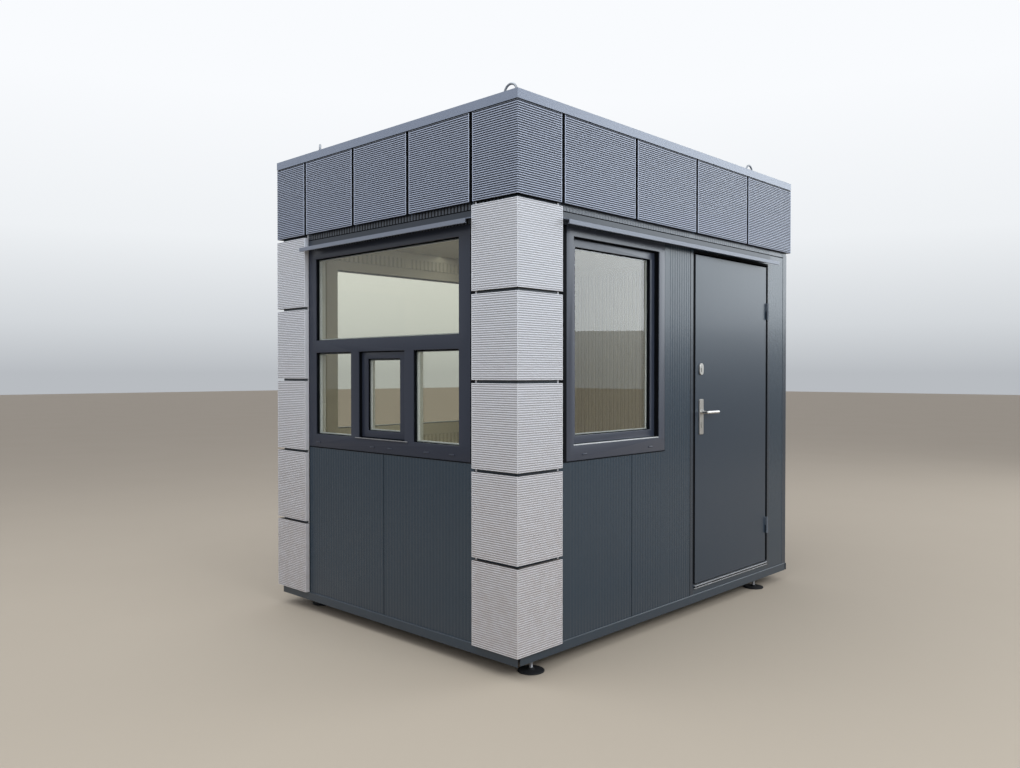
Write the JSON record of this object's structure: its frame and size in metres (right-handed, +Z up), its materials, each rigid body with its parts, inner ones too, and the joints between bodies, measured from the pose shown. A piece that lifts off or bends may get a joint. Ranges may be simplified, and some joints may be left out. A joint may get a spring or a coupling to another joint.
{
  "type": "security guard booth",
  "caption": "Steel framed guard booth with sandwich walls, ribbed cassettes, service window and a hinged door.",
  "frame": {"origin": "on the ground under the middle of the outline, drip lips included", "axes": "+Z up, the service window front looks along -Y, the door side looks along +X"},
  "size_m": [2.19, 2.884, 2.8809],
  "materials": {
    "anthracite_panel": "satin coil coated steel sheet",
    "anthracite_frame": "satin anthracite window profile",
    "anthracite_sheet": "folded coated steel sheet",
    "silver_sheet": "micro ribbed light grey coated sheet",
    "base_steel": "dark primer and paint",
    "floor_cover": "grey floor covering",
    "roof_sheet": "grey trapezoidal roof sheet",
    "window_glass": "clear insulating glass",
    "door_paint": "satin anthracite steel door",
    "stainless": "brushed stainless steel",
    "threshold_metal": "mill finish aluminium",
    "foot_plastic": "black plastic pad on a zinc plated screw",
    "eye_steel": "zinc plated bar"
  },
  "bodies": {
    "booth": {"attic_cassettes": "anthracite_sheet", "attic_corner_cassettes": "anthracite_sheet", "attic_upstands": "anthracite_panel", "back_wall": "anthracite_panel", "base_flashings": "anthracite_sheet", "base_frame": "base_steel", "cap_flashings": "anthracite_sheet", "column_cassettes_left": "silver_sheet", "column_cassettes_right": "silver_sheet", "corner_flashings": "anthracite_sheet", "corner_posts": "anthracite_panel", "door_apron": "door_paint", "door_head": "door_paint", "door_jambs": "door_paint", "door_threshold": "threshold_metal", "drip_flashings": "anthracite_sheet", "floor_slab": "floor_cover", "front_wall_above_window": "anthracite_panel", "front_wall_below_window": "anthracite_panel", "front_wall_piers": "anthracite_panel", "front_window_frame": "anthracite_frame", "front_window_glass": "window_glass", "hinge_frame_knuckles": "door_paint", "left_wall_above_window": "anthracite_panel", "left_wall_below_window": "anthracite_panel", "left_wall_piers": "anthracite_panel", "left_window_frame": "anthracite_frame", "left_window_glass": "window_glass", "levelling_feet": "foot_plastic", "lifting_eyes": "eye_steel", "right_wall_above_openings": "anthracite_panel", "right_wall_below_window": "anthracite_panel", "right_wall_piers": "anthracite_panel", "right_window_frame": "anthracite_frame", "right_window_glass": "window_glass", "right_window_sash": "anthracite_frame", "roof_panel": "roof_sheet", "service_sash": "anthracite_frame", "service_sash_glass": "window_glass", "service_sill_rail": "threshold_metal"},
    "door": {"door_leaf": "door_paint", "hinge_leaf_knuckles": "door_paint", "handle_plates": "stainless", "lock_escutcheons": "stainless"},
    "lever": {"lever_handle": "stainless"}
  },
  "joints": [
    {"name": "door_swing", "type": "hinge", "parent": "booth", "child": "door", "pos_m": [1.034, 1.1385, 1], "axis": [0, 0, 1], "range_deg": [0, 110]},
    {"name": "lever_turn", "type": "hinge", "parent": "door", "child": "lever", "pos_m": [1.0025, 0.284, 1.231], "axis": [-1, 0, 0], "range_deg": [0, 40], "stiffness_Nm_per_rad": 1, "springref_deg": -20.05}
  ]
}
